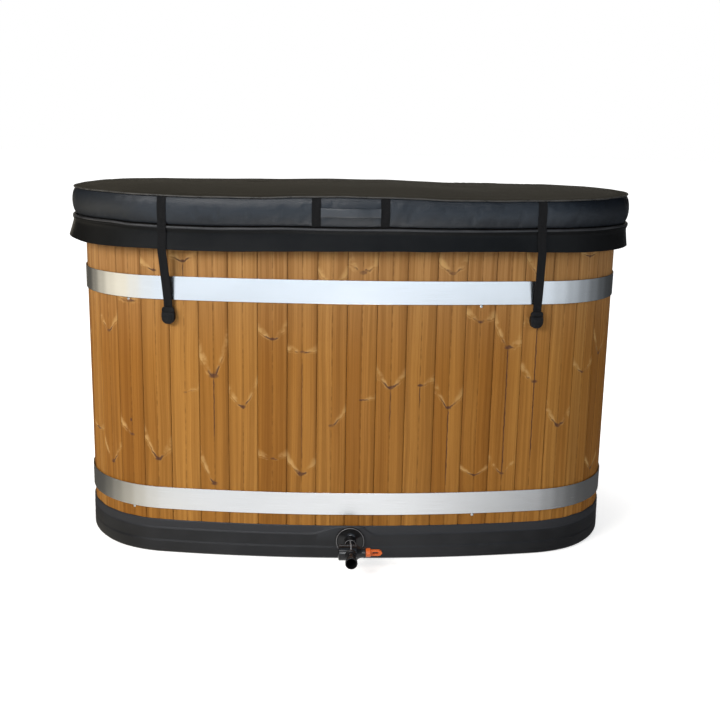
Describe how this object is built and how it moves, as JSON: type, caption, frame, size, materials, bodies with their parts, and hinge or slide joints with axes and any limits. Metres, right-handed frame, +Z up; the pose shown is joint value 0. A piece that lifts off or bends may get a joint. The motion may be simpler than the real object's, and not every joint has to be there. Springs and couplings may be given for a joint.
{
  "type": "cold plunge tub",
  "caption": "Oval timber-clad cold plunge tub with steel bands, a black base tray, a strapped padded cover with a grip, and a front drain valve with a turning key",
  "frame": {"origin": "On the floor, under the middle of the base tray", "axes": "+X along the tub's length, to the right as seen from the drain side; -Y towards the drain side, which is the front; +Z up"},
  "size_m": [1.7046, 0.9598, 1.0849],
  "materials": {
    "timber": "satin",
    "steel": "satin",
    "black_plastic": "satin",
    "foam": "matte",
    "vinyl": "satin",
    "webbing": "matte",
    "rubber": "matte",
    "orange_plastic": "satin"
  },
  "bodies": {
    "tub": {"base_tray": "black_plastic", "floor_insulation": "foam", "wall_insulation": "foam", "inner_tub": "black_plastic", "cladding_panel_01": "timber", "cladding_panel_02": "timber", "cladding_panel_03": "timber", "cladding_panel_04": "timber", "cladding_panel_05": "timber", "cladding_panel_06": "timber", "cladding_panel_07": "timber", "cladding_panel_08": "timber", "cladding_panel_09": "timber", "cladding_panel_10": "timber", "cladding_panel_11": "timber", "cladding_panel_12": "timber", "cladding_panel_13": "timber", "cladding_panel_14": "timber", "cladding_panel_15": "timber", "cladding_panel_16": "timber", "upper_band": "steel", "upper_band_bolt": "steel", "upper_band_nut": "steel", "lower_band": "steel", "lower_band_bolt": "steel", "lower_band_nut": "steel", "upper_band_screw_1": "steel", "upper_band_screw_2": "steel", "upper_band_screw_3": "steel", "upper_band_screw_4": "steel", "lower_band_screw_1": "steel", "lower_band_screw_2": "steel", "lower_band_screw_3": "steel", "lower_band_screw_4": "steel", "front_right_clip_socket": "black_plastic", "front_left_clip_socket": "black_plastic", "back_right_clip_socket": "black_plastic", "back_left_clip_socket": "black_plastic", "drain_strainer": "black_plastic", "drain_pipe": "black_plastic", "drain_gasket": "rubber", "drain_flange": "black_plastic", "valve_body": "black_plastic", "valve_outlet": "black_plastic"},
    "cover": {"cover_foam_core": "foam", "cover_skin": "vinyl", "cover_skirt": "vinyl", "handle_left_upright": "webbing", "handle_right_upright": "webbing", "handle_grip": "vinyl", "front_right_strap": "webbing", "front_left_strap": "webbing", "back_right_strap": "webbing", "back_left_strap": "webbing", "front_right_clip_tongue": "black_plastic", "front_left_clip_tongue": "black_plastic", "back_right_clip_tongue": "black_plastic", "back_left_clip_tongue": "black_plastic"},
    "key": {"valve_plug": "black_plastic", "valve_key": "orange_plastic"}
  },
  "joints": [
    {"name": "cover_lift", "type": "slide", "parent": "tub", "child": "cover", "axis": [0, 0, 1], "range_m": [0, 0.4]},
    {"name": "valve_key_turn", "type": "hinge", "parent": "tub", "child": "key", "pos_m": [0, -0.47, 0.058], "axis": [1, 0, 0], "range_deg": [0, 90]}
  ]
}
